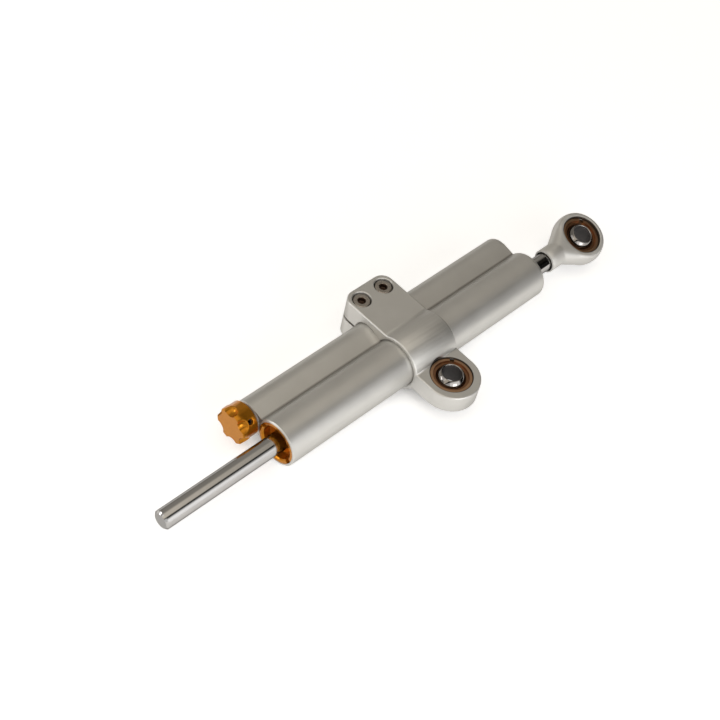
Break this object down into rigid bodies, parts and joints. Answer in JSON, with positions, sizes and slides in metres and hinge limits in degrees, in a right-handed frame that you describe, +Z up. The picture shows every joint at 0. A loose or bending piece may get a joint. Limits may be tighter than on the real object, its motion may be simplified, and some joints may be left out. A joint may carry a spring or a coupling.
{
  "type": "motorcycle steering damper",
  "caption": "Twin-barrel steering damper with a chromed through rod, a split clamp and an eye with spherical bearings, and a click knob for the damping.",
  "frame": {"origin": "centre of the spherical bearing in the clamp's ear", "axes": "+X along the barrel towards the rod-end eye, +Y from the bearing to the barrel, +Z up along the bearing's bore"},
  "size_m": [0.2446, 0.064, 0.024],
  "materials": {
    "silver_anodised": "satin, bead-blasted and clear anodised",
    "gold_anodised": "bright gold anodised",
    "chrome": "ground and hard-chromed",
    "polished_steel": "polished",
    "bronze": "turned",
    "spring_steel": "blued and browned",
    "screw_steel": "plain, turned",
    "black_steel": "blackened",
    "black_rubber": "matt",
    "plain_aluminium": "turned",
    "brass": "turned",
    "slide_ring": "bronze-filled"
  },
  "bodies": {
    "barrel": {"twin_barrel": "silver_anodised", "end_cap": "gold_anodised", "cap_o_ring": "black_rubber", "cap_wiper": "black_rubber", "cap_rod_seal": "black_rubber", "cap_guide_bush": "bronze", "far_guide_bush": "bronze", "far_rod_seal": "black_rubber", "far_wiper": "black_rubber", "adjuster_gland": "plain_aluminium", "gland_o_ring": "black_rubber", "valve_seat": "brass", "compensator_spring": "screw_steel"},
    "piston": {"piston": "plain_aluminium", "piston_ring": "slide_ring"},
    "rod": {"piston_rod": "chrome", "piston_circlips": "black_steel", "rod_end_housing": "silver_anodised", "bump_stop": "black_rubber", "rod_end_race": "bronze", "rod_end_snap_ring": "spring_steel"},
    "rod_end_ball": {"rod_end_ball": "polished_steel"},
    "clamp": {"clamp_body": "silver_anodised", "clamp_screws": "screw_steel", "clamp_bearing_race": "bronze", "clamp_snap_ring": "spring_steel"},
    "clamp_ball": {"clamp_bearing_ball": "polished_steel"},
    "adjuster": {"adjuster_knob": "gold_anodised", "knob_grub_screw": "black_steel", "adjuster_spindle": "screw_steel", "spindle_o_ring": "black_rubber", "spindle_circlip": "black_steel", "detent_ball": "polished_steel", "detent_spring": "screw_steel"},
    "needle": {"needle_valve": "brass"},
    "compensator": {"compensator_piston": "plain_aluminium", "compensator_o_ring": "black_rubber"}
  },
  "joints": [
    {"name": "rod_slide", "type": "slide", "parent": "barrel", "child": "piston", "axis": [1, 0, 0], "range_m": [-0.01, 0.046]},
    {"name": "rod_turn", "type": "hinge", "parent": "piston", "child": "rod", "pos_m": [0, 0.0197, 0], "axis": [1, 0, 0], "continuous": true},
    {"name": "rod_end_swivel", "type": "hinge", "parent": "rod", "child": "rod_end_ball", "pos_m": [0.102, 0.0197, 0], "axis": [0, -0.2957, 0.9553], "continuous": true},
    {"name": "clamp_slide", "type": "slide", "parent": "barrel", "child": "clamp", "axis": [1, 0, 0], "range_m": [-0.06, 0.05]},
    {"name": "clamp_swivel", "type": "hinge", "parent": "clamp", "child": "clamp_ball", "pos_m": [0, 0, 0], "axis": [0, 0, 1], "continuous": true},
    {"name": "adjuster_turn", "type": "hinge", "parent": "barrel", "child": "adjuster", "pos_m": [-0.0755, 0.0357, 0], "axis": [1, 0, 0], "range_deg": [-360, 270]},
    {"name": "needle_slide", "type": "slide", "parent": "barrel", "child": "needle", "axis": [1, 0, 0], "range_m": [-0.0005, 0.000375]},
    {"name": "compensator_slide", "type": "slide", "parent": "barrel", "child": "compensator", "axis": [1, 0, 0], "range_m": [-0.002, 0.003], "stiffness_N_per_m": 2000, "deforming": ["compensator_spring"]}
  ],
  "couplings": [
    {"joint": "adjuster_turn", "follows": "needle_slide", "rad_per_m": 12566}
  ]
}
